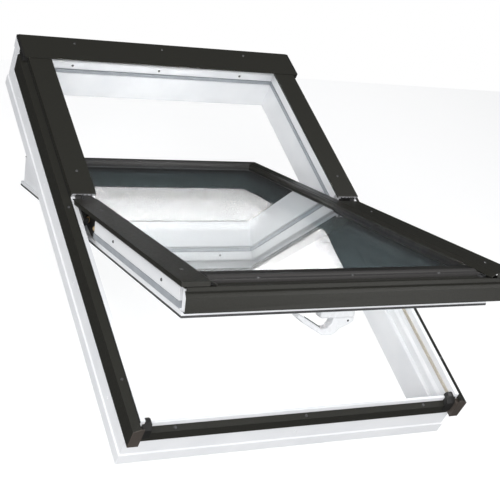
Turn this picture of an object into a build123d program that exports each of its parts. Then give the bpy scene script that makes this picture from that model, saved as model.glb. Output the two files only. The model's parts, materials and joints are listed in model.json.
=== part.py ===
from build123d import *
import math
import os

# Driving dimensions, in millimetres
WIDTH = 780
HEIGHT = 1180
HALF_W = WIDTH / 2
HALF_H = HEIGHT / 2
RISE = HALF_H - HALF_W
FRAME_DEPTH = 143
JAMB_INNER = 351
FLANGE_INNER = 364.6
FLANGE_OUTER = 374
LEDGE_Z = 77
LEDGE_OUT = 358
SKIN = 387.5
RIDGE_Z = 28
SHEET = 1.4
COVER_SHEET = 1.5
CLAD_EDGE = (391.8, 132.5)
CLAD_FOLD = (376.1, 140.2)
CLADDING_TOP_Y = 540
CLADDING_OUTER = CLAD_EDGE[0]
SILL_LEDGE_Z = 64
SILL_FLANGE_IN = 578.5
SILL_FLANGE_OUT = 584
SILL_TOP = 126
SILL_SKIN = 587.5
COVER_Z = 154.3
COVER_IN = 317
COVER_START = 19
FIXED_COVER_OUT = 375.6
FOOT_Z = 148.2
HOOD_Z = 155
HOOD_TOP = 157.3
HOOD_EDGE_Y = 500
HOOD_HALF = 384.5
HOOD_CAP_X = 389.3
CAP_INNER = 375.8
STRIP_START = 66
STRIP_IN = 345
STRIP_LOW = 93

# The sash turns about a level axis at the middle of the frame
AXIS_Z = 159
OPENING = 31.4
SASH_HALF_W = 338.5
SASH_TOP = 533
SASH_BOTTOM = -560
LIP = 7
SIGHT_X = 281
REBATE_X = 331
GLASS_X = 329
BEAD_X = 305
STILE_EDGE_M = -13
RAIL_EDGE_M = -23.5
LIP_M = -79
ROOM_FACE = -86.5
REBATE_M = -47
GLASS_M = -22
PANE = 4
GAP = 16
SKIRT_X = 363

# Arc hinge
HOUSING_R = 62
GROOVE_IN = 44
GROOVE_OUT = 56
RUN = 0.3
HOUSING_X = 352
SHOE_FROM = 9
SHOE_TO = 27
ARM_X = 342
KNOBS = ((-13, -46), (-68, -53))
KNOB_R = 7.5
KNOB_H = 5

# Handle and latch
HANDLE_X = 27
HANDLE_S = -533
BASE_M = -112
LEVER_W = 22
BOLT_M = -50
BOLT_TIP = -567
BOLT_W = 40
BOLT_T = 5

FRAME = Plane.XY
TILT = math.radians(OPENING)
SASH = Plane(origin=(0, 0, AXIS_Z), x_dir=(1, 0, 0), z_dir=(0, math.sin(TILT), math.cos(TILT)))

TOP_RISE = SASH_TOP - SASH_HALF_W
LOW_RISE = -SASH_BOTTOM - SASH_HALF_W

os.makedirs("parts", exist_ok=True)


# Working planes of the frame or the sash: across is (x, depth), along is (length, depth), face is (x, length)
def across(base, y):
    return Plane(origin=base.from_local_coords((0, y, 0)), x_dir=base.x_dir, z_dir=-base.y_dir)


def along(base, x):
    return Plane(origin=base.from_local_coords((x, 0, 0)), x_dir=base.y_dir, z_dir=base.x_dir)


def face(base, z):
    return base.offset(z)


# Plane through a corner at 45 degrees, facing the rail and not the stile
def mitre(base, corner_x, corner_y):
    side = math.copysign(1, corner_x)
    end = math.copysign(1, corner_y)
    normal = base.x_dir * -side + base.y_dir * end
    return Plane(origin=base.from_local_coords((corner_x, corner_y, 0)), z_dir=normal)


def keep(piece, name):
    piece.part.label = name
    export_step(piece.part, f"parts/{name}.step")


# Pieces that come in pairs are drawn on the right and mirrored to the left
def keep_pair(piece, name):
    right = piece.part
    left = mirror(right, about=Plane.YZ)
    right.label = f"{name}_right"
    left.label = f"{name}_left"
    export_step(right, f"parts/{right.label}.step")
    export_step(left, f"parts/{left.label}.step")


# Small pieces of one kind share a node
def keep_together(piece, name):
    both = Compound(children=[*piece.part.solids(), *mirror(piece.part, about=Plane.YZ).solids()])
    both.label = name
    export_step(both, f"parts/{name}.step")


# A run of one closed section
def run(plane, outline, length):
    with BuildPart() as piece:
        with BuildSketch(plane):
            Polygon(*outline, align=None)
        extrude(amount=length)
    return piece


# A run of folded sheet, its path drawn on the outside of the fold
def folded(plane, path, side, length, thickness=SHEET):
    with BuildPart() as piece:
        with BuildSketch(plane):
            with BuildLine():
                Polyline(*path)
                offset(amount=thickness, side=side, kind=Kind.INTERSECTION)
            make_face()
        extrude(amount=length)
    return piece


# Round fasteners of one kind, standing on several planes
def screws(places, radius, height):
    with BuildPart() as piece:
        for plane, points in places:
            with BuildSketch(plane):
                with Locations(*points):
                    Circle(radius)
            extrude(amount=height, taper=25)
    return piece


def both_sides(points):
    return [(side * x, y) for side in (-1, 1) for x, y in points]


# Welded plastic frame
def jamb_section(shift=0):
    return [
        (shift + JAMB_INNER, 0),
        (shift + JAMB_INNER, LEDGE_Z - 3),
        (shift + JAMB_INNER + 3, LEDGE_Z),
        (shift + LEDGE_OUT, LEDGE_Z),
        (shift + LEDGE_OUT, 96),
        (shift + FLANGE_INNER, 101),
        (shift + FLANGE_INNER, FRAME_DEPTH),
        (shift + FLANGE_OUTER, FRAME_DEPTH),
        (shift + FLANGE_OUTER, 128),
        (shift + SKIN, 121),
        (shift + SKIN, RIDGE_Z + 3),
        (shift + HALF_W, RIDGE_Z),
        (shift + HALF_W, 0),
    ]


FIXING_R = 2.25
FIXING_DEPTH = 30
FIXING_Z = 52
FIXING_OUTER = 466.5
FIXING_INNER = 155.5
FIXING_POINTS = [(y, FIXING_Z) for y in (-FIXING_OUTER, -FIXING_INNER, FIXING_INNER, FIXING_OUTER)]


def frame_jamb():
    with BuildPart() as jamb:
        with BuildSketch(across(FRAME, HALF_H)):
            Polygon(*jamb_section(), align=None)
        extrude(amount=HEIGHT)
        split(bisect_by=mitre(FRAME, HALF_W, HALF_H), keep=Keep.BOTTOM)
        with BuildSketch(FRAME):
            Polygon((300, -300 - RISE), (HALF_W + 1, -HALF_H - 1), (300, -HALF_H - 1), align=None)
        extrude(amount=LEDGE_Z, mode=Mode.SUBTRACT)
        with BuildSketch(along(FRAME, SKIN)):
            with Locations(*FIXING_POINTS):
                Circle(FIXING_R)
        extrude(amount=-FIXING_DEPTH, mode=Mode.SUBTRACT)
    return jamb


def frame_head():
    with BuildPart() as head:
        with BuildSketch(along(FRAME, -HALF_W)):
            Polygon(*jamb_section(RISE), align=None)
        extrude(amount=WIDTH)
        for side in (-1, 1):
            split(bisect_by=mitre(FRAME, side * HALF_W, HALF_H), keep=Keep.TOP)
        with BuildSketch(Plane.XZ.offset(-RISE - SKIN)):
            with Locations((0, FIXING_Z)):
                Circle(FIXING_R)
        extrude(amount=FIXING_DEPTH, mode=Mode.SUBTRACT)
    return head


KEEPER_W = 56
POCKET_W = 44
POCKET_H = 10


def frame_sill():
    outline = [
        (-HALF_H, 0),
        (-HALF_H, RIDGE_Z),
        (-SILL_SKIN, RIDGE_Z + 3),
        (-SILL_SKIN, 104),
        (-SILL_FLANGE_OUT, 112),
        (-SILL_FLANGE_OUT, SILL_TOP),
        (-SILL_FLANGE_IN, SILL_TOP),
        (-SILL_FLANGE_IN, SILL_LEDGE_Z),
        (-JAMB_INNER - RISE, SILL_LEDGE_Z),
        (-JAMB_INNER - RISE, 0),
    ]
    bolt_z = AXIS_Z + BOLT_M
    with BuildPart() as sill:
        with BuildSketch(along(FRAME, -HALF_W)):
            Polygon(*outline, align=None)
        extrude(amount=WIDTH)
        for side in (-1, 1):
            with BuildSketch(FRAME):
                Polygon(
                    (side * 300, -300 - RISE),
                    (side * (HALF_W + 1), -HALF_H - 1),
                    (side * (HALF_W + 1), -300 - RISE),
                    align=None,
                )
            extrude(amount=LEDGE_Z, mode=Mode.SUBTRACT)
            with BuildSketch(across(FRAME, -HALF_H + 40)):
                Polygon(
                    (side * LEDGE_OUT, LEDGE_Z),
                    (side * LEDGE_OUT, 96),
                    (side * FLANGE_INNER, 101),
                    (side * FLANGE_INNER, FRAME_DEPTH),
                    (side * (HALF_W + 1), FRAME_DEPTH),
                    (side * (HALF_W + 1), LEDGE_Z),
                    align=None,
                )
            extrude(amount=80, mode=Mode.SUBTRACT)
        with BuildSketch(across(FRAME, -SILL_FLANGE_IN)):
            with Locations((0, bolt_z)):
                Rectangle(POCKET_W, POCKET_H)
        extrude(amount=20, mode=Mode.SUBTRACT)
        with BuildSketch(across(FRAME, -SILL_SKIN)):
            with Locations((0, FIXING_Z)):
                Circle(FIXING_R)
        extrude(amount=-FIXING_DEPTH, mode=Mode.SUBTRACT)
    return sill


keep_pair(frame_jamb(), "frame_jamb")
keep(frame_head(), "frame_head")
keep(frame_sill(), "frame_sill")


# Metal cladding on the outside of the frame
CLADDING_LOW = 83.3
CLADDING_END = 607.6
CAP_PLATE = 1.6
CAP_IN = 369


def jamb_cladding():
    path = [
        (SKIN, CLADDING_LOW),
        (CLADDING_OUTER, CLADDING_LOW),
        CLAD_EDGE,
        CLAD_FOLD,
        (376.1, 129),
    ]
    length = CLADDING_TOP_Y + CLADDING_END - CAP_PLATE
    return folded(across(FRAME, CLADDING_TOP_Y), path, Side.LEFT, length)


def cladding_end_cap():
    plate = [
        (CAP_IN, CLADDING_LOW),
        (CLADDING_OUTER, CLADDING_LOW),
        CLAD_EDGE,
        CLAD_FOLD,
        (CAP_IN, 140.2),
    ]
    with BuildPart() as cap:
        with BuildSketch(across(FRAME, -CLADDING_END + CAP_PLATE)):
            Polygon(*plate, align=None)
        extrude(amount=CAP_PLATE)
        with BuildSketch(across(FRAME, -HALF_H)):
            with Locations(((CAP_IN + CLADDING_OUTER - SHEET) / 2, 106)):
                Rectangle(CLADDING_OUTER - SHEET - CAP_IN, 42)
        extrude(amount=CLADDING_END - CAP_PLATE - HALF_H)
    return cap


def outer_gasket():
    outline = [(FLANGE_OUTER, 128.5), (376.1, 128.5), (376.1, 141), (FLANGE_OUTER, 141)]
    return run(across(FRAME, CLADDING_TOP_Y), outline, CLADDING_TOP_Y + HALF_H)


SILL_CLAD_Y = 596
SILL_CLAD_TOP = 109.6
SILL_CLAD_BACK = 115.4


def sill_cladding():
    path = [
        (-SILL_SKIN, CLADDING_LOW),
        (-SILL_CLAD_Y, CLADDING_LOW),
        (-SILL_CLAD_Y, SILL_CLAD_TOP),
        (-SILL_FLANGE_OUT, SILL_CLAD_BACK),
    ]
    with BuildPart() as cladding:
        with BuildSketch(along(FRAME, -CAP_IN)):
            with BuildLine():
                Polyline(*path)
                offset(amount=SHEET, side=Side.RIGHT, kind=Kind.INTERSECTION)
            make_face()
        extrude(amount=2 * CAP_IN)
        split(bisect_by=Plane.XZ.offset(SILL_FLANGE_OUT), keep=Keep.TOP)
        for side in (-1, 1):
            with BuildSketch(FRAME):
                with Locations((side * (LEDGE_OUT + 15), -HALF_H + 10)):
                    Rectangle(30, 20)
            extrude(amount=200, mode=Mode.SUBTRACT)
    return cladding


def corner_block():
    outline = [
        (-577, SILL_TOP),
        (-SILL_FLANGE_OUT, SILL_TOP),
        (-SILL_FLANGE_OUT, SILL_CLAD_BACK),
        (-SILL_CLAD_Y, SILL_CLAD_TOP),
        (-SILL_CLAD_Y, 96),
        (-599, 96),
        (-599, 122),
        (-589, 136),
        (-577, 136),
    ]
    with BuildPart() as block:
        with BuildSketch(along(FRAME, 348)):
            Polygon(*outline, align=None)
        extrude(amount=CAP_IN - 0.2 - 348)
        with BuildSketch(FRAME):
            with Locations((FLANGE_INNER + 10, -HALF_H + 10)):
                Rectangle(20, 20)
        extrude(amount=200, mode=Mode.SUBTRACT)
        chamfer(block.faces().sort_by(Axis.Z).last.edges().sort_by(Axis.X).first, 4)
    return block


keep_pair(jamb_cladding(), "jamb_cladding")
keep_together(cladding_end_cap(), "cladding_end_caps")
keep_together(outer_gasket(), "outer_gaskets")
keep(sill_cladding(), "sill_cladding")
keep_together(corner_block(), "corner_blocks")


# Fixed covers over the upper half
def upper_cover():
    path = [(FIXED_COVER_OUT, 141.5), (FIXED_COVER_OUT, COVER_Z), (COVER_IN, COVER_Z), (COVER_IN, FOOT_Z)]
    with BuildPart() as cover:
        with BuildSketch(across(FRAME, 504)):
            with BuildLine():
                Polyline(*path)
                offset(amount=COVER_SHEET, side=Side.LEFT, kind=Kind.INTERSECTION)
            make_face()
        extrude(amount=504 - COVER_START)
        with BuildSketch(across(FRAME, COVER_START + COVER_SHEET)):
            for start, end in ((COVER_IN, HOUSING_X - RUN), (FLANGE_INNER + RUN, FLANGE_OUTER + 0.1)):
                Polygon((start, FOOT_Z), (end, FOOT_Z), (end, COVER_Z - 1), (start, COVER_Z - 1), align=None)
            with Locations((331, 150.5), (343, 150.5)):
                Circle(1.6, mode=Mode.SUBTRACT)
        extrude(amount=COVER_SHEET)
    return cover


BRACKET_Y = (92.5, 280, 470)


def cover_brackets():
    with BuildPart() as bracket:
        with BuildSketch(face(FRAME, FRAME_DEPTH)):
            with Locations(*[(357, y) for y in BRACKET_Y]):
                Rectangle(30, 24)
        extrude(amount=COVER_Z - COVER_SHEET - FRAME_DEPTH)
    return bracket


def head_hood():
    with BuildPart() as hood:
        with BuildSketch(along(FRAME, -HOOD_HALF)):
            Polygon(
                (HOOD_EDGE_Y, HOOD_Z - 0.5),
                (HOOD_EDGE_Y, HOOD_TOP),
                (HALF_H + 2, HOOD_TOP),
                (HALF_H + 2, 124),
                (HALF_H, 124),
                (HALF_H, HOOD_Z),
                (HOOD_EDGE_Y + 2, HOOD_Z),
                (HOOD_EDGE_Y + 2, HOOD_Z - 0.5),
                align=None,
            )
        extrude(amount=2 * HOOD_HALF)
        fillet(hood.edges().filter_by(Axis.X).group_by(Axis.Z)[-1].sort_by(Axis.Y)[-1], 1.8)
    return hood


# A rail along the head and a block at each end carry the hood
def hood_supports():
    with BuildPart() as supports:
        with BuildSketch(along(FRAME, -366)):
            Polygon((565, FRAME_DEPTH), (574, FRAME_DEPTH), (574, HOOD_Z), (565, HOOD_Z), align=None)
        extrude(amount=732)
        with BuildSketch(across(FRAME, HALF_H)):
            for side in (-1, 1):
                Polygon(
                    (side * 384, 123),
                    (side * SKIN, 121.2),
                    (side * HOOD_CAP_X, 121.2),
                    (side * HOOD_CAP_X, 150),
                    (side * 384, 150),
                    align=None,
                )
        extrude(amount=HALF_H - CLADDING_TOP_Y - 1)
    return supports


def hood_end_cap():
    with BuildPart() as cap:
        with BuildSketch(across(FRAME, HALF_H)):
            Polygon(
                (CAP_INNER, 150),
                (HOOD_CAP_X, 150),
                (HOOD_CAP_X, HOOD_TOP - 0.5),
                (HOOD_HALF, HOOD_TOP - 0.5),
                (HOOD_HALF, HOOD_Z),
                (CAP_INNER, HOOD_Z),
                align=None,
            )
        extrude(amount=HALF_H - HOOD_EDGE_Y - 3)
        with BuildSketch(across(FRAME, CLADDING_TOP_Y + 0.5)):
            Polygon((CAP_INNER, 141.3), (HOOD_CAP_X, 141.3), (HOOD_CAP_X, 150), (CAP_INNER, 150), align=None)
        extrude(amount=CLADDING_TOP_Y + 0.5 - HOOD_EDGE_Y - 3)
        with BuildSketch(across(FRAME, HALF_H)):
            Polygon((CAP_INNER, 127.6), (384, 123.3), (384, 150), (CAP_INNER, 150), align=None)
        extrude(amount=HALF_H - CLADDING_TOP_Y - 0.5)
    return cap


keep_pair(upper_cover(), "upper_cover")
keep_together(cover_brackets(), "cover_brackets")
keep(head_hood(), "head_hood")
keep(hood_supports(), "hood_supports")
keep_together(hood_end_cap(), "hood_end_caps")


# Weather strips inside the frame
def strip_section(shift=0):
    return [
        (shift + STRIP_IN, STRIP_LOW),
        (shift + LEDGE_OUT, STRIP_LOW),
        (shift + LEDGE_OUT, 96),
        (shift + FLANGE_INNER, 101.1),
        (shift + FLANGE_INNER, 118),
        (shift + STRIP_IN + 2, 118),
        (shift + STRIP_IN, 116),
    ]


def strip_gasket_section(shift=0):
    return [
        (shift + 341.5, 84),
        (shift + 344, 81.5),
        (shift + LEDGE_OUT, 81.5),
        (shift + LEDGE_OUT, STRIP_LOW),
        (shift + 341.5, STRIP_LOW),
    ]


def side_strip(section):
    with BuildPart() as strip:
        with BuildSketch(across(FRAME, HALF_H)):
            Polygon(*section, align=None)
        extrude(amount=HALF_H - STRIP_START)
        split(bisect_by=mitre(FRAME, HALF_W, HALF_H), keep=Keep.BOTTOM)
    return strip


def head_strip(section):
    with BuildPart() as strip:
        with BuildSketch(along(FRAME, -HALF_W)):
            Polygon(*section, align=None)
        extrude(amount=WIDTH)
        for side in (-1, 1):
            split(bisect_by=mitre(FRAME, side * HALF_W, HALF_H), keep=Keep.TOP)
    return strip


def flange_gasket():
    outline = [(361.6, 120), (FLANGE_INNER, 119), (FLANGE_INNER, 127), (361.6, 126)]
    return run(across(FRAME, -STRIP_START), outline, 577 - STRIP_START)


keep_pair(side_strip(strip_section()), "upper_strip")
keep(head_strip(strip_section(RISE)), "upper_strip_head")
keep_together(side_strip(strip_gasket_section()), "upper_gaskets")
keep(head_strip(strip_gasket_section(RISE)), "upper_gasket_head")
keep_together(flange_gasket(), "flange_gaskets")


# Arc hinges: the shoe on the sash runs in a groove round the pivot axis
def hinge_housing():
    with BuildPart() as housing:
        with BuildSketch(along(FRAME, HOUSING_X)):
            with Locations((0, AXIS_Z)):
                Circle(HOUSING_R)
        extrude(amount=FLANGE_INNER - HOUSING_X)
        with BuildSketch(along(FRAME, HOUSING_X)):
            with Locations((0, AXIS_Z)):
                Circle(GROOVE_OUT)
                Circle(GROOVE_IN, mode=Mode.SUBTRACT)
        extrude(amount=8, mode=Mode.SUBTRACT)
        with BuildSketch(along(FRAME, HOUSING_X)):
            with Locations((0, AXIS_Z)):
                Circle(18)
        extrude(amount=20, mode=Mode.SUBTRACT)
        split(bisect_by=face(FRAME, 151.5), keep=Keep.BOTTOM)
        split(bisect_by=face(FRAME, 101.2), keep=Keep.TOP)
    return housing


def hinge_arm():
    start = math.radians(SHOE_FROM)
    end = math.radians(SHOE_TO)
    inner = GROOVE_IN + RUN
    outer = GROOVE_OUT - RUN
    outline = [(58, -13), (58, -34), (-38, -77), (-68, -77), (-76, -62), (-76, -40), (-30, -30), (20, -13)]
    with BuildPart() as arm:
        with BuildSketch(along(SASH, SASH_HALF_W)):
            Polygon(*outline, align=None)
        extrude(amount=ARM_X - SASH_HALF_W)
        with BuildSketch(along(SASH, ARM_X)):
            with BuildLine():
                CenterArc((0, 0), outer, -SHOE_TO, SHOE_TO - SHOE_FROM)
                Line((outer * math.cos(start), -outer * math.sin(start)),
                     (inner * math.cos(start), -inner * math.sin(start)))
                CenterArc((0, 0), inner, -SHOE_TO, SHOE_TO - SHOE_FROM)
                Line((outer * math.cos(end), -outer * math.sin(end)),
                     (inner * math.cos(end), -inner * math.sin(end)))
            make_face()
        extrude(amount=HOUSING_X + 8 - RUN - ARM_X)
    return arm


def keeper_plate():
    with BuildPart() as plate:
        with BuildSketch(across(FRAME, -SILL_FLANGE_IN + 1.5)):
            with Locations((0, AXIS_Z + BOLT_M)):
                RectangleRounded(KEEPER_W, 26, 3)
                Rectangle(POCKET_W, POCKET_H, mode=Mode.SUBTRACT)
        extrude(amount=1.5)
    return plate


keep_pair(hinge_housing(), "hinge_housing")
keep_pair(hinge_arm(), "hinge_arm")
keep(keeper_plate(), "keeper_plate")


# Welded plastic sash
def stile_section(shift=0, edge=STILE_EDGE_M):
    return [
        (shift + SIGHT_X + 3, ROOM_FACE),
        (shift + SIGHT_X, ROOM_FACE + 3),
        (shift + SIGHT_X, -54),
        (shift + SIGHT_X + 4, REBATE_M),
        (shift + REBATE_X, REBATE_M),
        (shift + REBATE_X, edge),
        (shift + SASH_HALF_W, edge),
        (shift + SASH_HALF_W, LIP_M),
        (shift + SASH_HALF_W + LIP, LIP_M),
        (shift + SASH_HALF_W + LIP, ROOM_FACE),
    ]


LIP_X = SASH_HALF_W + LIP
LIP_TOP = SASH_TOP + LIP
LIP_BOTTOM = SASH_BOTTOM - LIP
FLANGE_TIP = -606
FLANGE_M = -21.4
FLANGE_LOW = -31


def sash_stile():
    with BuildPart() as stile:
        with BuildSketch(across(SASH, LIP_TOP)):
            Polygon(*stile_section(), align=None)
        extrude(amount=LIP_TOP - LIP_BOTTOM)
        split(bisect_by=mitre(SASH, SASH_HALF_W, SASH_TOP), keep=Keep.BOTTOM)
        split(bisect_by=mitre(SASH, SASH_HALF_W, SASH_BOTTOM), keep=Keep.BOTTOM)
    return stile


def sash_top_rail():
    with BuildPart() as rail:
        with BuildSketch(along(SASH, -LIP_X)):
            Polygon(*stile_section(TOP_RISE), align=None)
        extrude(amount=2 * LIP_X)
        for side in (-1, 1):
            split(bisect_by=mitre(SASH, side * SASH_HALF_W, SASH_TOP), keep=Keep.TOP)
    return rail


def sash_bottom_rail():
    outline = [(-s, m) for s, m in stile_section(LOW_RISE, RAIL_EDGE_M)]
    with BuildPart() as rail:
        with BuildSketch(along(SASH, -LIP_X)):
            Polygon(*outline, align=None)
        extrude(amount=2 * LIP_X)
        for side in (-1, 1):
            split(bisect_by=mitre(SASH, side * SASH_HALF_W, SASH_BOTTOM), keep=Keep.TOP)
        with BuildSketch(along(SASH, -SASH_HALF_W)):
            Polygon(
                (SASH_BOTTOM, FLANGE_LOW),
                (FLANGE_TIP, FLANGE_LOW),
                (FLANGE_TIP, FLANGE_M),
                (SASH_BOTTOM, FLANGE_M),
                align=None,
            )
        extrude(amount=2 * SASH_HALF_W)
        with BuildSketch(face(SASH, BOLT_M)):
            with Locations((0, -550)):
                Rectangle(BOLT_W + 2 * RUN, 36)
        extrude(amount=BOLT_T / 2 + RUN, both=True, mode=Mode.SUBTRACT)
    return rail


keep_pair(sash_stile(), "sash_stile")
keep(sash_top_rail(), "sash_top_rail")
keep(sash_bottom_rail(), "sash_bottom_rail")


# Insulating glass
GLASS_TOP = GLASS_X + TOP_RISE
GLASS_BOTTOM = -GLASS_X - LOW_RISE


# A flat rectangle of the sash, with an opening a set margin inside it
def sash_ring(m, thickness, inset, margin):
    top = GLASS_TOP - inset
    bottom = GLASS_BOTTOM + inset
    wide = 2 * (GLASS_X - inset)
    with BuildPart() as ring:
        with BuildSketch(face(SASH, m)):
            with Locations((0, (top + bottom) / 2)):
                Rectangle(wide, top - bottom)
                if margin:
                    Rectangle(wide - 2 * margin, top - bottom - 2 * margin, mode=Mode.SUBTRACT)
        extrude(amount=thickness)
    return ring


keep(sash_ring(GLASS_M - PANE, PANE, 0, 0), "glass_outer")
keep(sash_ring(GLASS_M - PANE - GAP, GAP, 4, 8), "glass_spacer")
keep(sash_ring(GLASS_M - 2 * PANE - GAP, PANE, 0, 0), "glass_inner")
keep(sash_ring(REBATE_M, 1, 0, 40), "glazing_gasket")


# Glazing beads on the outside of the upper half
BEAD_START = 14
BAR_BACK = -552.5
BAR_HALF = 303


def bead_section(shift=0):
    return [
        (shift + 339.5, -11.5),
        (shift + 316, -11.5),
        (shift + 313, -13.2),
        (shift + 309, -12.6),
        (shift + BEAD_X, -16),
        (shift + BEAD_X, GLASS_M),
        (shift + REBATE_X, GLASS_M),
        (shift + REBATE_X, STILE_EDGE_M),
        (shift + 339.5, STILE_EDGE_M),
    ]


def sash_bead():
    with BuildPart() as bead:
        with BuildSketch(across(SASH, LIP_TOP)):
            Polygon(*bead_section(), align=None)
        extrude(amount=LIP_TOP - BEAD_START)
        split(bisect_by=mitre(SASH, SASH_HALF_W, SASH_TOP), keep=Keep.BOTTOM)
        with BuildSketch(along(SASH, SASH_HALF_W)):
            with Locations((0, -20)):
                Rectangle(140, 40)
        extrude(amount=2, mode=Mode.SUBTRACT)
    return bead


def sash_bead_top():
    with BuildPart() as bead:
        with BuildSketch(along(SASH, -LIP_X)):
            Polygon(*bead_section(TOP_RISE), align=None)
        extrude(amount=2 * LIP_X)
        for side in (-1, 1):
            split(bisect_by=mitre(SASH, side * SASH_HALF_W, SASH_TOP), keep=Keep.TOP)
    return bead


def sash_bead_bottom():
    start = -BEAD_X - LOW_RISE
    outline = [(BAR_BACK, GLASS_M), (BAR_BACK, -14), (start - 4, -14), (start, -17), (start, GLASS_M)]
    return run(along(SASH, -BEAD_X), outline, 2 * BEAD_X)


# Seals between the wide covers and the glass
def cover_seal():
    outline = [(BEAD_X, GLASS_M), (BEAD_X, -15.2), (BEAD_X + 4, -15.2), (BEAD_X + 4, GLASS_M)]
    return run(across(SASH, BEAD_START - 1), outline, BEAD_START - 1 - BAR_BACK)


keep_pair(sash_bead(), "sash_bead")
keep(sash_bead_top(), "sash_bead_top")
keep(sash_bead_bottom(), "sash_bead_bottom")
keep_together(cover_seal(), "cover_seals")


# Wide covers on the lower half of the sash
COVER_M = -5
COVER_TOP_S = 13
COVER_END_S = -620


def sash_cover():
    path = [(374.4, -14.5), (374.4, COVER_M), (318, COVER_M), (BEAD_X, -12), (BEAD_X, -15)]
    with BuildPart() as cover:
        with BuildSketch(across(SASH, COVER_TOP_S)):
            with BuildLine():
                Polyline(*path)
                offset(amount=COVER_SHEET, side=Side.LEFT, kind=Kind.INTERSECTION)
            make_face()
        extrude(amount=COVER_TOP_S - COVER_END_S)
        with BuildSketch(along(SASH, 371)):
            Polygon((COVER_TOP_S, -6.5), (-2, -6.5), (-2, -15), (COVER_TOP_S, -15), align=None)
        extrude(amount=5, mode=Mode.SUBTRACT)
        with BuildSketch(across(SASH, COVER_END_S + COVER_SHEET)):
            Polygon((318.9, -5.5), (373.5, -5.5), (373.5, -14.5), (318.9, -14.5), align=None)
        extrude(amount=COVER_SHEET)
    return cover


def bottom_bar():
    with BuildPart() as bar:
        with BuildSketch(along(SASH, -BAR_HALF)):
            with BuildLine():
                Line((BAR_BACK, RAIL_EDGE_M), (BAR_BACK, -14))
                ThreePointArc((BAR_BACK, -14), (-562, -11), (-573, -14))
                Polyline(
                    (-573, -14),
                    (-584.5, -14),
                    (-584.5, FLANGE_M),
                    (SASH_BOTTOM, FLANGE_M),
                    (SASH_BOTTOM, RAIL_EDGE_M),
                    (BAR_BACK, RAIL_EDGE_M),
                )
            make_face()
        extrude(amount=2 * BAR_HALF)
    return bar


def bar_clips():
    with BuildPart() as clips:
        with BuildSketch(face(SASH, -20)):
            with Locations(*both_sides([(301, -592)])):
                Rectangle(14, 12)
        extrude(amount=2.2)
    return clips


def skirt():
    path = [
        (-585, -20),
        (-609, -20),
        (-611.5, -16),
        (-618, -16),
        (-618, -24.5),
        (-612.5, -26),
        (-619, -36),
        (-619, -65),
        (-611, -65),
    ]
    return folded(along(SASH, -SKIRT_X), path, Side.RIGHT, 2 * SKIRT_X)


def skirt_plug():
    outline = [(-600.5, FLANGE_M), (-609, FLANGE_M), (-609, -30), (-616, -40), (-616, -63), (-600.5, -63)]
    return run(along(SASH, SASH_HALF_W), outline, SKIRT_X - 1.5 - SASH_HALF_W)


keep_pair(sash_cover(), "sash_cover")
keep(bottom_bar(), "bottom_bar")
keep(bar_clips(), "bar_clips")
keep(skirt(), "skirt")
keep_together(skirt_plug(), "skirt_plugs")


# Seals of the sash
LIP_SEAL = 4.5


def lip_gasket():
    middle = (LIP_TOP + LIP_BOTTOM) / 2
    tall = LIP_TOP - LIP_BOTTOM
    with BuildPart() as gasket:
        with BuildSketch(face(SASH, ROOM_FACE - LIP_SEAL)):
            with Locations((0, middle)):
                Rectangle(2 * LIP_X, tall)
                Rectangle(2 * LIP_X - 12, tall - 12, mode=Mode.SUBTRACT)
        extrude(amount=LIP_SEAL)
    return gasket


STRIP_TOP_S = -80
STRIP_LEN = 480
STRIP_OUT = 350
STRIP_WEB = 340.5
STRIP_SLOT_M = -59.5
STRIP_FOOT_M = -73.5


def lower_strip():
    outline = [
        (SASH_HALF_W, -33),
        (343, -31),
        (STRIP_OUT, -33),
        (STRIP_OUT, STRIP_SLOT_M),
        (STRIP_WEB, STRIP_SLOT_M),
        (STRIP_WEB, STRIP_FOOT_M),
        (LIP_X, STRIP_FOOT_M),
        (LIP_X, LIP_M),
        (SASH_HALF_W, LIP_M),
    ]
    return run(across(SASH, STRIP_TOP_S), outline, STRIP_LEN)


def lower_gasket():
    outline = [
        (STRIP_WEB, STRIP_SLOT_M),
        (STRIP_OUT + 1.5, STRIP_SLOT_M),
        (STRIP_OUT + 1.5, STRIP_FOOT_M + 2),
        (STRIP_OUT - 1, STRIP_FOOT_M),
        (STRIP_WEB, STRIP_FOOT_M),
    ]
    return run(across(SASH, STRIP_TOP_S), outline, STRIP_LEN)


keep(lip_gasket(), "lip_gasket")
keep_pair(lower_strip(), "lower_strip")
keep_together(lower_gasket(), "lower_gaskets")


# Lock and handle
def lock_faceplate():
    with BuildPart() as plate:
        with BuildSketch(across(SASH, SASH_BOTTOM)):
            with Locations((0, BOLT_M)):
                RectangleRounded(60, 22, 3)
                Rectangle(BOLT_W + 1, BOLT_T + 1, mode=Mode.SUBTRACT)
        extrude(amount=1.5)
    return plate


def latch_bolt():
    with BuildPart() as bolt:
        with BuildSketch(face(SASH, BOLT_M - BOLT_T / 2)):
            with Locations((0, BOLT_TIP + 15)):
                Rectangle(BOLT_W, 30)
        extrude(amount=BOLT_T)
        chamfer(bolt.faces().sort_by(Axis((0, 0, 0), -SASH.y_dir)).last.edges(), 1)
    return bolt


def handle_base():
    with BuildPart() as base:
        with BuildSketch(face(SASH, ROOM_FACE)):
            with Locations((2, HANDLE_S)):
                RectangleRounded(78, 28, 6)
        extrude(amount=BASE_M - ROOM_FACE)
        chamfer(base.faces().sort_by(Axis((0, 0, 0), -SASH.z_dir)).last.edges(), 3)
    return base


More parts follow.
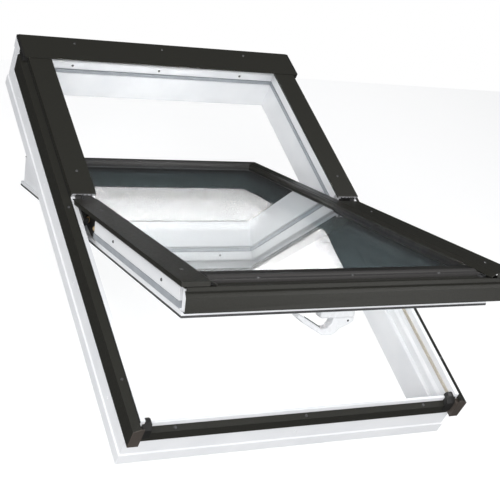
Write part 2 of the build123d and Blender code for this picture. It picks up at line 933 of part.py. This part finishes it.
def handle_lever():
    outline = [
        (41, BASE_M - RUN),
        (40, -120),
        (32, -126.5),
        (10.7, -135),
        (2, -143.4),
        (-8.3, -148.7),
        (-29.4, -147.1),
        (-71, -122.5),
        (-90, -108),
        (-85, -102),
        (-67, -112),
        (-30, -134),
        (-17, -132),
        (-9, -123),
        (-6, BASE_M - RUN),
    ]
    with BuildPart() as lever:
        with BuildSketch(across(SASH, HANDLE_S + LEVER_W / 2)):
            Polygon(*outline, align=None)
        extrude(amount=LEVER_W)
        fillet(lever.edges().filter_by(lambda e: abs(e.length - LEVER_W) > 0.01), 2.5)
    return lever


def handle_insert():
    start = Vector(-67, -112)
    along_grip = Vector(-30, -134) - start
    out = Vector(-along_grip.Y, along_grip.X).normalized() * 1.6
    corners = [start + along_grip * 0.08, start + along_grip * 0.92]
    outline = [corners[0], corners[1], corners[1] + out, corners[0] + out]
    return run(across(SASH, HANDLE_S + 7), outline, 14)


keep(lock_faceplate(), "lock_faceplate")
keep(latch_bolt(), "latch_bolt")
keep(handle_base(), "handle_base")
keep(handle_lever(), "handle_lever")
keep(handle_insert(), "handle_insert")


# Fasteners, one node for each body and kind
SCREW_R = 3.4
SCREW_HEAD = 1.8
CLAD_SLOPE = Plane(origin=(383, 0, 136.816), x_dir=(0, 1, 0), z_dir=(7.7, 0, 15.7))
CLAD_SLOPE_LEFT = Plane(origin=(-383, 0, 136.816), x_dir=(0, 1, 0), z_dir=(-7.7, 0, 15.7))
SILL_SLOPE = Plane(origin=(0, -590, 112.5), x_dir=(1, 0, 0), z_dir=(0, -5.8, 12))
CLAD_SCREWS = [(-484, 0), (-7, 0)]
STRIP_SCREWS = [(-202, -46), (-473, -46)]

frame_places = [
    (face(FRAME, COVER_Z), both_sides([(346, 92.5)])),
    (CLAD_SLOPE, CLAD_SCREWS),
    (CLAD_SLOPE_LEFT, CLAD_SCREWS),
    (SILL_SLOPE, [(-294, 0), (0, 0), (294, 0)]),
    (across(FRAME, 345 + RISE), [(-241, 104), (0, 104), (241, 104)]),
]
STRIP_SIDE_LEFT = Plane(origin=along(SASH, -STRIP_OUT).origin, x_dir=SASH.y_dir, z_dir=-SASH.x_dir)
sash_places = [
    (face(SASH, COVER_M), both_sides([(344, -97.5), (344, -544)])),
    (face(SASH, -14), [(-203, -579), (0, -579), (203, -579)]),
    (along(SASH, STRIP_OUT), STRIP_SCREWS),
    (STRIP_SIDE_LEFT, [(s, -m) for s, m in STRIP_SCREWS]),
]
keep(screws(frame_places, SCREW_R, SCREW_HEAD), "frame_screws")
keep(screws(sash_places, SCREW_R, SCREW_HEAD), "sash_screws")
keep(screws([(face(FRAME, HOOD_TOP), [(-242, 569), (0, 569), (242, 569)])], 3.4, 1.6), "hood_rivets")
keep_together(screws([(along(SASH, ARM_X), KNOBS)], KNOB_R, KNOB_H), "hinge_knobs")
keep(screws([(across(SASH, HANDLE_S - LEVER_W / 2), [(HANDLE_X, -119)])], 2.2, 0.6), "handle_screw")
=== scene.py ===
import json
import math

import bmesh
import bpy
from mathutils import Euler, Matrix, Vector


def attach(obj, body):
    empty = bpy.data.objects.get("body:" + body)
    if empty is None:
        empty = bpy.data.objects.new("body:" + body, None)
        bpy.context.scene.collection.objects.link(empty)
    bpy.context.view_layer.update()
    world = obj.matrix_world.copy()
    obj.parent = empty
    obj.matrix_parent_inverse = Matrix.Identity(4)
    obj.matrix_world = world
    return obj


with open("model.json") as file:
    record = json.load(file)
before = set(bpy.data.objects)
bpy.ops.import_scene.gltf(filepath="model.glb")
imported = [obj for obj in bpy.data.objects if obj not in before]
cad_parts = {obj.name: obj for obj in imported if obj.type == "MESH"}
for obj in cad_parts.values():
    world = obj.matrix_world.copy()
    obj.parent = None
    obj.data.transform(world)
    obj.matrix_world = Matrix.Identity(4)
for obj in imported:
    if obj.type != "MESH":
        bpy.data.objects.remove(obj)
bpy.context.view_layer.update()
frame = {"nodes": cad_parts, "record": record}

MM = 0.001
scene = bpy.context.scene
scene.view_settings.view_transform = "Standard"

# Camera at the photograph's viewing angle
CAMERA_AT = (-1.14612, -1.70746, 1.83112)
CAMERA_TURN = (46.1421, -18.7791, -19.4904)
LENS = 80.692
SENSOR = 36
FAR_CLIP = 30
camera_data = bpy.data.cameras.new("view_camera")
camera_data.lens = LENS
camera_data.sensor_width = SENSOR
camera_data.clip_end = FAR_CLIP
camera = bpy.data.objects.new("view_camera", camera_data)
camera.location = CAMERA_AT
camera.rotation_euler = Euler([math.radians(a) for a in CAMERA_TURN], "XYZ")
scene.collection.objects.link(camera)
scene.camera = camera


# Node helpers for procedural materials
class Maker:
    def __init__(self, name):
        self.material = bpy.data.materials.new(name)
        self.material.use_nodes = True
        self.tree = self.material.node_tree
        self.tree.nodes.clear()
        self.out = self.add("ShaderNodeOutputMaterial")

    def add(self, kind, **sockets):
        node = self.tree.nodes.new(kind)
        for name, value in sockets.items():
            self.put(node.inputs[name.replace("_", " ")], value)
        return node

    def put(self, socket, value):
        if isinstance(value, bpy.types.NodeSocket):
            self.tree.links.new(value, socket)
        else:
            socket.default_value = value

    def place(self, stretch=(1, 1, 1)):
        coords = self.add("ShaderNodeTexCoord")
        mapping = self.add("ShaderNodeMapping", Vector=coords.outputs["Object"], Scale=stretch)
        return mapping.outputs["Vector"]

    def noise(self, scale, detail=3, rough=0.5, stretch=(1, 1, 1)):
        node = self.add("ShaderNodeTexNoise", Vector=self.place(stretch), Scale=scale, Detail=detail)
        node.inputs["Roughness"].default_value = rough
        return node.outputs["Fac"]

    def between(self, factor, low, high, start=0.3, end=0.7):
        ramp = self.add("ShaderNodeValToRGB", Fac=factor)
        ramp.color_ramp.elements[0].position = start
        ramp.color_ramp.elements[0].color = (*low, 1)
        ramp.color_ramp.elements[1].position = end
        ramp.color_ramp.elements[1].color = (*high, 1)
        return ramp.outputs["Color"]

    def spread(self, factor, low, high):
        node = self.add("ShaderNodeMapRange", Value=factor)
        node.inputs["From Min"].default_value = 0.3
        node.inputs["From Max"].default_value = 0.7
        node.inputs["To Min"].default_value = low
        node.inputs["To Max"].default_value = high
        return node.outputs["Result"]

    def bump(self, height, distance, strength=1.0):
        node = self.add("ShaderNodeBump", Height=height, Distance=distance, Strength=strength)
        return node.outputs["Normal"]

    def surface(self, color, roughness, normal=None, **settings):
        shader = self.add("ShaderNodeBsdfPrincipled")
        self.put(shader.inputs["Base Color"], color)
        self.put(shader.inputs["Roughness"], roughness)
        if normal is not None:
            self.put(shader.inputs["Normal"], normal)
        for name, value in settings.items():
            self.put(shader.inputs[name.replace("_", " ")], value)
        self.tree.links.new(shader.outputs["BSDF"], self.out.inputs["Surface"])
        return shader


# Each look takes its two tones, then its span of roughness
def moulded_plastic(name, low, high, rough=(0.28, 0.4), grain=0.00002):
    m = Maker(name)
    color = m.between(m.noise(9), low, high)
    roughness = m.spread(m.noise(60), *rough)
    normal = m.bump(m.noise(900, 2), grain)
    m.surface(color, roughness, normal, Coat_Weight=0.08, Coat_Roughness=0.15)
    return m.material


# Powder coat: a fine dimple and a fleck, even in tone over its length
def coated_metal(name, low, high, rough=(0.34, 0.42), shine=0.5):
    m = Maker(name)
    color = m.between(m.noise(420, 2), low, high)
    roughness = m.spread(m.noise(200, 2), *rough)
    normal = m.bump(m.noise(1400, 2), 0.00003)
    m.surface(color, roughness, normal, Metallic=0.0, Specular_IOR_Level=shine)
    return m.material


def soft_rubber(name, low, high, rough=(0.55, 0.75)):
    m = Maker(name)
    color = m.between(m.noise(35, 4), low, high)
    m.surface(color, m.spread(m.noise(80), *rough), m.bump(m.noise(700, 3), 0.00004))
    return m.material


def bare_metal(name, low, high, rough=(0.25, 0.42), stretch=(1, 30, 1), metal=1.0):
    m = Maker(name)
    color = m.between(m.noise(50, 4), low, high)
    brushed = m.noise(90, 4, stretch=stretch)
    m.surface(color, m.spread(brushed, *rough), m.bump(brushed, 0.00001), Metallic=metal)
    return m.material


# Tinted glass with a mirror coat, which lets light through in shadow rays
def coated_glass(name, tint, shadow_tint, patchiness=0.005):
    m = Maker(name)
    shader = m.add("ShaderNodeBsdfPrincipled", Roughness=0.0, IOR=1.5)
    shader.inputs["Transmission Weight"].default_value = 1.0
    shader.inputs["Coat Weight"].default_value = 1.0
    shader.inputs["Coat Roughness"].default_value = 0.0
    shader.inputs["Coat IOR"].default_value = 1.8
    darker = [(1 - patchiness) * c for c in tint]
    m.put(shader.inputs["Base Color"], m.between(m.noise(2, 2), darker, tint))
    clear = m.add("ShaderNodeBsdfTransparent", Color=(*shadow_tint, 1))
    path = m.add("ShaderNodeLightPath")
    mix = m.add("ShaderNodeMixShader", Fac=path.outputs["Is Shadow Ray"])
    m.tree.links.new(shader.outputs["BSDF"], mix.inputs[1])
    m.tree.links.new(clear.outputs["BSDF"], mix.inputs[2])
    m.tree.links.new(mix.outputs["Shader"], m.out.inputs["Surface"])
    return m.material


SATIN = (0.4, 0.55)
MATT = (0.45, 0.6)
PLAIN = (1, 1, 1)
LOOKS = {
    "pvc_white": moulded_plastic("white_plastic", (0.80, 0.81, 0.83), (0.86, 0.865, 0.88)),
    "cladding_dark": coated_metal("dark_coating", (0.020, 0.0197, 0.0163), (0.0265, 0.026, 0.0215)),
    "end_cap_brown": moulded_plastic("brown_plastic", (0.055, 0.045, 0.038), (0.085, 0.07, 0.06), MATT),
    "plastic_black": moulded_plastic("black_plastic", (0.012, 0.012, 0.012), (0.022, 0.021, 0.02), SATIN),
    "rubber_black": soft_rubber("black_rubber", (0.01, 0.01, 0.01), (0.02, 0.02, 0.02)),
    "rubber_grey": soft_rubber("grey_rubber", (0.29, 0.31, 0.335), (0.36, 0.38, 0.405)),
    "rubber_beige": soft_rubber("beige_rubber", (0.45, 0.41, 0.34), (0.55, 0.5, 0.42)),
    "glass_clear": coated_glass("float_glass", (0.62, 0.70, 0.715), (0.95, 0.96, 0.96)),
    "spacer_dark": coated_metal("spacer_bar", (0.010, 0.012, 0.015), (0.014, 0.017, 0.02)),
    "brass": bare_metal("worn_brass", (0.38, 0.25, 0.11), (0.72, 0.5, 0.25), (0.3, 0.5), PLAIN, 0.4),
    "steel": bare_metal("zinc_steel", (0.11, 0.11, 0.11), (0.2, 0.2, 0.205), SATIN, PLAIN, 0.8),
    "handle_white": moulded_plastic("handle_plastic", (0.78, 0.79, 0.81), (0.84, 0.85, 0.86), (0.22, 0.34)),
    # Lighter copy of the dark coating: painted sheen for the bottom bar and top bead
    "bead_metal": coated_metal("bead_coating_painted_sheen", (0.048, 0.046, 0.045), (0.058, 0.056, 0.055)),
    "lip_rubber": soft_rubber("lip_rubber", (0.05, 0.05, 0.052), (0.08, 0.08, 0.083)),
    "insert_grey": soft_rubber("grip_insert", (0.04, 0.04, 0.045), (0.07, 0.07, 0.075)),
}

# A part's look goes by its slot, and a few parts have their own; the bottom bar and the top bead take a lighter
# copy of the dark coating, a painted sheen on their up-facing faces
SLOT_OF = {entry["node"]: entry["material_slot"] for entry in frame["record"]["subparts"]}
OWN_LOOK = {"bottom_bar": "bead_metal", "sash_bead_top": "bead_metal", "lip_gasket": "lip_rubber"}
for name, node in frame["nodes"].items():
    node.data.materials.clear()
    node.data.materials.append(LOOKS[OWN_LOOK.get(name, SLOT_OF[name])])


# Small radii on the folded and moulded edges, which catch the light
EDGES = {
    "cladding_dark": 0.7,
    "pvc_white": 0.6,
    "end_cap_brown": 0.6,
    "plastic_black": 0.5,
    "handle_white": 0.3,
}
WELD_GAP = 0.02
SHARP_ANGLE = 35
SHARP_KEPT = ("hinge_housing", "handle_lever")
for name, node in frame["nodes"].items():
    width = EDGES.get(SLOT_OF[name])
    if width is None or name.startswith(SHARP_KEPT):
        continue
    weld = node.modifiers.new("weld", "WELD")
    weld.merge_threshold = WELD_GAP * MM
    bevel = node.modifiers.new("edge_radius", "BEVEL")
    bevel.width = width * MM
    bevel.segments = 2
    bevel.limit_method = "ANGLE"
    bevel.angle_limit = math.radians(SHARP_ANGLE)


# A box in the frame's axes, given by two corners in millimetres, with its edges eased
def block(name, look, low, high, ease=0.2):
    mesh = bpy.data.meshes.new(name)
    xs, ys, zs = zip([c * MM for c in low], [c * MM for c in high])
    corners = [(x, y, z) for x in xs for y in ys for z in zs]
    faces = [(0, 1, 3, 2), (4, 6, 7, 5), (0, 4, 5, 1), (2, 3, 7, 6), (0, 2, 6, 4), (1, 5, 7, 3)]
    mesh.from_pydata(corners, [], faces)
    mesh.materials.append(look)
    piece = bpy.data.objects.new(name, mesh)
    scene.collection.objects.link(piece)
    edge = piece.modifiers.new("ease", "BEVEL")
    edge.width = ease * MM
    edge.segments = 2
    return piece


# Pale closing plates at the lower ends of the fixed covers, with near-black patches at their holes: painted
# shade for the dark inside the holes
SIDES = ((-1, "left"), (1, "right"))
PLATE_ENDS = (319, 372.5)
PLATE_Y = (18.3, 18.9)
PLATE_Z = (148.6, 152.6)
HOLES_AT = (328, 338, 348, 360)
HOLE_HALF = 2
HOLE_Y = (18.1, 18.5)
HOLE_Z = (149.4, 151.9)
PLATE_METAL = bare_metal("plate_zinc", (0.5, 0.5, 0.52), (0.66, 0.66, 0.68), (0.35, 0.5), PLAIN, 0.5)
# Near black for the hole patches: painted shade
HOLE_PAINTED_SHADE = soft_rubber("hole_painted_shade", (0.008, 0.008, 0.008), (0.014, 0.014, 0.014))


# A block on the frame between two places across it
def frame_block(name, look, xs, ys, zs):
    low, high = zip(sorted(xs), ys, zs)
    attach(block(name, look, low, high), "frame")


for side, word in SIDES:
    frame_block(f"cover_plate_{word}", PLATE_METAL, [side * x for x in PLATE_ENDS], PLATE_Y, PLATE_Z)
    for number, x in enumerate(HOLES_AT):
        xs = (side * x - HOLE_HALF, side * x + HOLE_HALF)
        frame_block(f"plate_hole_shade_{word}_{number}", HOLE_PAINTED_SHADE, xs, HOLE_Y, HOLE_Z)


# Rounded brass faces on the hinge knobs, turned parts that bulge past their flat CAD discs
KNOB_BRASS = bare_metal("knob_brass", (0.46, 0.33, 0.17), (0.7, 0.52, 0.3), (0.28, 0.42), PLAIN, 0.35)
KNOB_X = 346.7
KNOBS = ((-13, -46), (-68, -53))
KNOB_RADIUS = 5.2
KNOB_FLATNESS = 0.55
AXIS_Z = 159
TILT = math.radians(31.4)


# A place on the sash, given along it and square to its pane, in the frame's axes
def on_sash(along, above):
    y = along * math.cos(TILT) + above * math.sin(TILT)
    z = AXIS_Z - along * math.sin(TILT) + above * math.cos(TILT)
    return y, z


for side, word in SIDES:
    for number, place in enumerate(KNOBS):
        y, z = on_sash(*place)
        mesh = bpy.data.meshes.new(f"knob_face_{word}_{number}")
        form = bmesh.new()
        bmesh.ops.create_uvsphere(form, u_segments=28, v_segments=14, radius=KNOB_RADIUS * MM)
        for vertex in form.verts:
            vertex.co.x *= KNOB_FLATNESS
        for polygon in form.faces:
            polygon.smooth = True
        form.to_mesh(mesh)
        form.free()
        mesh.materials.append(KNOB_BRASS)
        knob = bpy.data.objects.new(mesh.name, mesh)
        knob.location = (side * KNOB_X * MM, y * MM, z * MM)
        scene.collection.objects.link(knob)
        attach(knob, "sash")


# Pale floor; past its far edge the white world shows, a little brighter than the floor
FLOOR_Z = -0.62
FLOOR_CORNERS = [(-4, -4, 0), (4, -4, 0), (4, 1.5, 0), (-4, 1.5, 0)]
floor_mesh = bpy.data.meshes.new("studio_floor")
floor_mesh.from_pydata(FLOOR_CORNERS, [], [(0, 1, 2, 3)])
floor = bpy.data.objects.new("studio_floor", floor_mesh)
floor.location = (0, 0, FLOOR_Z)
scene.collection.objects.link(floor)

# The floor's glow where it is seen directly, and where it is seen through the glass: far above the 1 that
# is white, and reddish, to offset the tint of the panes
GLOW_SEEN = 0.5
GLOW_THROUGH = 18.0
# Glow inside the band of painted shade, seen through the glass
GLOW_IN_PAINTED_SHADE = 3.2
UNTINTED = (1.0, 0.78, 0.75)

# A less bright band of the floor, which shows only through the glass: painted shade, a dimmer patch of the
# floor's glow that darkens the view through the panes.
# Its outline comes from points of the photograph sent through this camera onto the floor, so it fits this one
# view and shows as a patch in others.
# Its left, near and far sides, where the far side turns and its slope, and a point and slope of the slanted side
BAND_LEFT = 0.08
BAND_NEAR = 0.45
BAND_FAR = 0.68
BAND_BLEND = 0.01
FAR_TURNS_X = 0.585
FAR_SLOPE = 0.7185
SLANT_X, SLANT_Y = 0.5288, 0.4647
SLANT_SLOPE = 0.5615

# Diffuse colour of the floor, and its near black in the gloss of the object
FLOOR_TONE = (0.55, 0.55, 0.55)
FLOOR_IN_GLOSS = (0.03, 0.03, 0.03)

paper = Maker("white_floor_with_painted_shade")
seen = paper.add("ShaderNodeLightPath").outputs
spot = paper.add("ShaderNodeSeparateXYZ", Vector=paper.add("ShaderNodeTexCoord").outputs["Object"]).outputs


def combine(operation, first, second, clamp=False):
    node = paper.add("ShaderNodeMath")
    node.operation = operation
    node.use_clamp = clamp
    paper.put(node.inputs[0], first)
    paper.put(node.inputs[1], second)
    return node.outputs["Value"]


past_turn = combine("SUBTRACT", spot["X"], FAR_TURNS_X, clamp=True)
depth = combine("SUBTRACT", spot["Y"], combine("MULTIPLY", past_turn, FAR_SLOPE))
far_side = paper.add("ShaderNodeMapRange", Value=depth)
far_side.inputs["From Min"].default_value = BAND_FAR
far_side.inputs["From Max"].default_value = BAND_FAR + BAND_BLEND
far_side.inputs["To Min"].default_value = GLOW_IN_PAINTED_SHADE
far_side.inputs["To Max"].default_value = GLOW_THROUGH
slanted = combine("SUBTRACT", combine("MULTIPLY", spot["X"], SLANT_SLOPE), spot["Y"])
outside = [
    combine("GREATER_THAN", slanted, SLANT_SLOPE * SLANT_X - SLANT_Y),
    combine("LESS_THAN", spot["X"], BAND_LEFT),
    combine("LESS_THAN", spot["Y"], BAND_NEAR),
]
behind_glass = far_side.outputs["Result"]
for place in outside:
    behind_glass = combine("MAXIMUM", behind_glass, combine("MULTIPLY", place, GLOW_THROUGH))

direct = combine("MULTIPLY", seen["Is Camera Ray"], GLOW_SEEN)
through = combine("MULTIPLY", seen["Is Transmission Ray"], behind_glass)
glow = paper.add("ShaderNodeEmission", Strength=combine("MAXIMUM", direct, through))
paper.put(glow.inputs["Color"], paper.between(seen["Is Transmission Ray"], (1, 1, 1), UNTINTED, 0, 1))
matt = paper.add("ShaderNodeBsdfDiffuse")
paper.put(matt.inputs["Color"], paper.between(seen["Is Glossy Ray"], FLOOR_TONE, FLOOR_IN_GLOSS, 0, 1))
both = paper.add("ShaderNodeAddShader")
paper.tree.links.new(glow.outputs["Emission"], both.inputs[0])
paper.tree.links.new(matt.outputs["BSDF"], both.inputs[1])
paper.tree.links.new(both.outputs["Shader"], paper.out.inputs["Surface"])
floor_mesh.materials.append(paper.material)

# World: white where it is seen, soft grey as light, nearly black in gloss and through glass
AMBIENT = 0.4
AMBIENT_COLOR = (0.95, 0.97, 1.0, 1)
WORLD_IN_GLASS = 0.03
WORLD_SEEN = 1.0
world = bpy.data.worlds.new("studio_world")
scene.world = world
world.use_nodes = True
tree = world.node_tree
tree.nodes.clear()


def sky(strength, color=(1, 1, 1, 1)):
    node = tree.nodes.new("ShaderNodeBackground")
    node.inputs["Color"].default_value = color
    node.inputs["Strength"].default_value = strength
    return node.outputs["Background"]


def choose(factor, no, yes):
    node = tree.nodes.new("ShaderNodeMixShader")
    tree.links.new(factor, node.inputs["Fac"])
    tree.links.new(no, node.inputs[1])
    tree.links.new(yes, node.inputs[2])
    return node.outputs["Shader"]


rays = tree.nodes.new("ShaderNodeLightPath").outputs
shade = choose(rays["Is Glossy Ray"], sky(AMBIENT, AMBIENT_COLOR), sky(WORLD_IN_GLASS))
shade = choose(rays["Is Transmission Ray"], shade, sky(WORLD_IN_GLASS))
shade = choose(rays["Is Camera Ray"], shade, sky(WORLD_SEEN))
end = tree.nodes.new("ShaderNodeOutputWorld")
tree.links.new(shade, end.inputs["Surface"])


# A lamp at a place, turned to a target, with its size and watts
def softbox(name, at, target, size, watts):
    data = bpy.data.lights.new(name, "AREA")
    data.shape = "RECTANGLE"
    data.size, data.size_y = size
    data.energy = watts
    lamp = bpy.data.objects.new(name, data)
    lamp.location = at
    lamp.rotation_euler = (Vector(target) - Vector(at)).to_track_quat("-Z", "Y").to_euler()
    scene.collection.objects.link(lamp)


softbox("front_low", (-0.6, -3.8, 0.7), (0, 0, 0.15), (2.6, 1.6), 9)
softbox("front_high", (-1.2, -3.0, 2.9), (0, 0.3, 0.1), (2.4, 2.0), 92)
softbox("left_high", (-3.0, -0.8, 2.6), (0, 0, 0.1), (1.8, 2.2), 70)
softbox("top_right", (1.5, 0.1, 2.5), (0, -0.3, 0.3), (1.6, 1.4), 34)
softbox("left_low", (-3.4, -1.6, 0.7), (0, 0, 0.3), (1.6, 1.0), 12)
softbox("front_right", (1.9, -3.4, 1.3), (0, 0, 0.2), (1.4, 1.8), 12)
